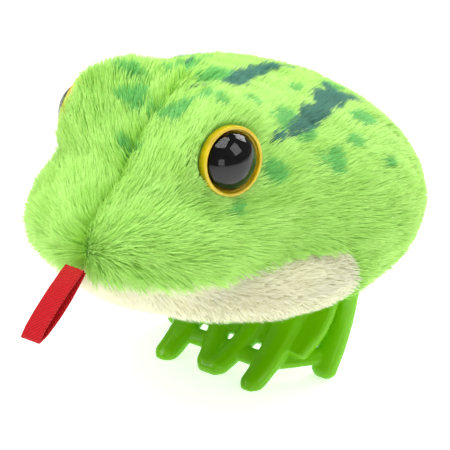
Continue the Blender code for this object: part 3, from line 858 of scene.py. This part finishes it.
def soft_copy(node, name, material, voxel, smoothing, swell):
    """A smooth copy of a CAD node, remeshed, relaxed over so many steps and swollen back to its size."""
    obj = new_object(name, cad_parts[node].data.copy())
    obj.data.materials.clear()
    remesh = obj.modifiers.new("remesh", "REMESH")
    remesh.mode = "VOXEL"
    remesh.voxel_size = voxel
    relax = obj.modifiers.new("relax", "SMOOTH")
    relax.iterations = smoothing
    relax.factor = 0.5
    fuller = obj.modifiers.new("fuller", "DISPLACE")
    fuller.strength = swell
    fuller.mid_level = 0.0
    apply_modifiers(obj)
    obj.data.shade_smooth()
    obj.data.materials.append(material)
    return obj


def inner_soft_parts():
    lining_cloth = cloth_material("lining_cloth", (0.62, 0.63, 0.56), (0.80, 0.81, 0.75))
    fibre = cloth_material("fill_fibre_looks", (0.82, 0.82, 0.80), (0.93, 0.93, 0.92))
    lining = soft_copy("clip_pocket", "clip_pocket_cloth", lining_cloth, 0.5 * MM, smoothing=4, swell=0.0)
    fill = soft_copy("stuffing", "stuffing_fill", fibre, 1.5 * MM, smoothing=10, swell=0.0)
    pieces = ((lining, "clip_pocket", "lining_fabric"), (fill, "stuffing", "fill_fibre"))
    for piece, node, slot_name in pieces:
        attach(piece, "plush_body")
        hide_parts(node)


def claws():
    plastic = claw_material()
    for node in ("rear_jaw", "front_jaw"):
        jaw = soft_copy(node, node + "_moulding", plastic, 0.35 * MM, smoothing=16, swell=0.38 * MM)
        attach(jaw, node)
        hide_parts(node)


def eye_matrix(side):
    """Places a piece turned about the z axis on an eye's face."""
    turn = eye_axis(side).to_track_quat("Z", "Y").to_matrix().to_4x4()
    return Matrix.Translation((side * EYE_PLACE.x, EYE_PLACE.y, EYE_PLACE.z)) @ turn


def turned(name, profile, matrix, material):
    """A profile of (radius, height) in mm, spun about the eye's axis."""
    bm = bmesh.new()
    verts = [bm.verts.new((radius * MM, 0, height * MM)) for radius, height in profile]
    for start, end in zip(verts, verts[1:] + verts[:1]):
        if max(start.co.x, end.co.x) > 0:
            bm.edges.new((start, end))
    bmesh.ops.spin(bm, geom=bm.verts[:] + bm.edges[:], cent=(0, 0, 0), axis=(0, 0, 1),
                   angle=2 * math.pi, steps=TURNED_SEGMENTS, use_merge=True)
    bmesh.ops.remove_doubles(bm, verts=bm.verts, dist=1e-6)
    bmesh.ops.transform(bm, matrix=matrix, verts=bm.verts)
    obj = object_from(name, bm)
    obj.data.set_sharp_from_angle(angle=math.radians(50))
    obj.data.materials.append(material)
    return obj


def rounded(corners, radius, steps=4):
    """A closed profile with its corners rounded; corners on the axis stay as they are."""
    points = []
    for index, corner in enumerate(corners):
        here = Vector(corner)
        before = Vector(corners[index - 1])
        after = Vector(corners[(index + 1) % len(corners)])
        if here.x < 1e-6:
            points.append(tuple(here))
            continue
        inward = (before - here).normalized() * min(radius, (before - here).length / 2)
        outward = (after - here).normalized() * min(radius, (after - here).length / 2)
        for step in range(steps + 1):
            t = step / steps
            point = here + inward * (1 - t) ** 2 + outward * t**2
            points.append(tuple(point))
    return points


def dome(radius, height, base, steps=20):
    """The profile of a ball's cap, from its top to its rim."""
    ball = (radius**2 + height**2) / (2 * height)
    reach = math.asin(radius / ball)
    centre = base + height - ball
    angles = [reach * k / steps for k in range(steps + 1)]
    return [(ball * math.sin(angle), centre + ball * math.cos(angle)) for angle in angles]


def eyes():
    yellow = eye_yellow_material()
    black = eye_black_material()
    clear = lens_material()
    white = washer_material()
    lens_profile = dome(LENS_RADIUS, LENS_HEIGHT, LENS_BASE) + [(0, LENS_BASE)]
    for side, label in ((1, "left"), (-1, "right")):
        matrix = eye_matrix(side)
        iris = turned(f"eye_{label}_iris_ring", rounded(IRIS_PROFILE, EDGE_RADIUS), matrix, yellow)
        pupil = turned(f"eye_{label}_pupil_disc", rounded(PUPIL_PROFILE, PUPIL_EDGE_RADIUS), matrix, black)
        lens = turned(f"eye_{label}_dome", lens_profile, matrix, clear)
        pieces = (
            (iris, "iris", "eye_yellow"),
            (pupil, "pupil", "eye_black"),
            (lens, "lens", "eye_clear"),
        )
        for piece, node, slot_name in pieces:
            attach(piece, "plush_body")
            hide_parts(f"eye_{node}_{label}")
        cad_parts[f"eye_washer_{label}"].material_slots[0].material = white


def ribbon_rows(bm):
    """Rows of (vertex, place across, place along), out on the upper layer and back on the lower one."""
    along = TONGUE_TIP - TONGUE_ROOT
    reach = along.length
    along.normalize()
    across = Vector((0, along.z, -along.y))
    rows = []
    travelled = 0.0
    last = TONGUE_ROOT
    for step in range(2 * RIBBON_STEPS + 1):
        share = step / RIBBON_STEPS
        out = share if share <= 1 else 2 - share
        side = 1 if share <= 1 else -1
        bow = math.sin(math.pi * out)
        apart = (RIBBON_ROOT_GAP + RIBBON_BULGE * bow**RIBBON_FULLNESS) * side
        apart *= min(1.0, math.sqrt(max(1 - out, 0) * RIBBON_FOLD))
        middle = TONGUE_ROOT + along * reach * out + across * apart
        travelled += (middle - last).length if rows else 0.0
        last = middle
        row = []
        for column in range(RIBBON_COLUMNS + 1):
            share_across = 2 * column / RIBBON_COLUMNS - 1
            cup = RIBBON_CUP * share_across**2 * bow
            x = share_across * RIBBON_HALF_WIDTH
            row.append((bm.verts.new(middle + Vector((x, 0, 0)) - across * cup), x, travelled))
        rows.append(row)
    return rows


def tongue():
    """The ribbon loop, with a UV map in ribbon millimetres for its weave."""
    bm = bmesh.new()
    weave = bm.loops.layers.uv.new("weave")
    rows = ribbon_rows(bm)
    for row, following in zip(rows, rows[1:]):
        for column in range(RIBBON_COLUMNS):
            corners = (row[column], row[column + 1], following[column + 1], following[column])
            face = bm.faces.new([corner[0] for corner in corners])
            for loop, (_, x, travelled) in zip(face.loops, corners):
                loop[weave].uv = (x / MM * WEAVE_SCALE, travelled / MM * WEAVE_SCALE)
    obj = object_from("tongue_woven_ribbon", bm)
    thick = obj.modifiers.new("thickness", "SOLIDIFY")
    thick.thickness = RIBBON_THICKNESS
    thick.offset = 0
    apply_modifiers(obj)
    obj.data.materials.append(ribbon_material())
    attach(obj, "tongue")
    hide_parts("tongue_ribbon")


def hardware():
    """The hinge's steel parts keep their CAD shape."""
    steel = steel_material()
    for node in ("hinge_pin", "torsion_spring", "pin_cap_left", "pin_cap_right"):
        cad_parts[node].material_slots[0].material = steel


# Studio


def floor():
    bm = bmesh.new()
    bmesh.ops.create_grid(bm, x_segments=1, y_segments=1, size=FLOOR_HALF_SIZE)
    obj = object_from("floor", bm)
    made, tree, shader = principled("floor_paper", (0.93, 0.93, 0.93), 0.8)
    noise_colour(tree, shader, (0.92, 0.92, 0.92), (0.94, 0.94, 0.94), 3.0)
    shader.inputs["Emission Color"].default_value = (1, 1, 1, 1)
    shader.inputs["Emission Strength"].default_value = FLOOR_GLOW
    obj.data.materials.append(made)
    obj.location.z = -FLOOR_DROP


def view_direction(azimuth, elevation):
    """Towards a light or the camera; azimuth 0 is in front of the frog and 90 degrees on its left."""
    across = math.cos(elevation)
    return Vector((math.sin(azimuth) * across, -math.cos(azimuth) * across, math.sin(elevation)))


def area_light(name, azimuth, elevation, distance, size, power):
    """A square soft light that faces the object."""
    direction = view_direction(math.radians(azimuth), math.radians(elevation))
    data = bpy.data.lights.new(name, "AREA")
    data.size = size
    data.energy = power
    light = bpy.data.objects.new(name, data)
    light.location = AIM + direction * distance
    light.rotation_euler = direction.to_track_quat("Z", "Y").to_euler()
    bpy.context.scene.collection.objects.link(light)


def studio():
    floor()
    for light in LIGHTS:
        area_light(*light)
    world = bpy.data.worlds.new("studio")
    world.use_nodes = True
    background = world.node_tree.nodes["Background"]
    background.inputs["Color"].default_value = (1, 1, 1, 1)
    background.inputs["Strength"].default_value = WORLD_STRENGTH
    bpy.context.scene.world = world
    bpy.context.scene.view_settings.view_transform = "Standard"


def camera():
    direction = view_direction(CAMERA_AZIMUTH, CAMERA_ELEVATION)
    data = bpy.data.cameras.new("camera")
    data.sensor_width = SENSOR_WIDTH
    data.lens = SENSOR_WIDTH * CAMERA_DISTANCE / VIEW_WIDTH
    obj = bpy.data.objects.new("camera", data)
    obj.location = AIM + direction * CAMERA_DISTANCE
    obj.rotation_euler = direction.to_track_quat("Z", "Y").to_euler()
    bpy.context.scene.collection.objects.link(obj)
    bpy.context.scene.camera = obj


camera()
studio()
plush()
inner_soft_parts()
eyes()
tongue()
claws()
hardware()
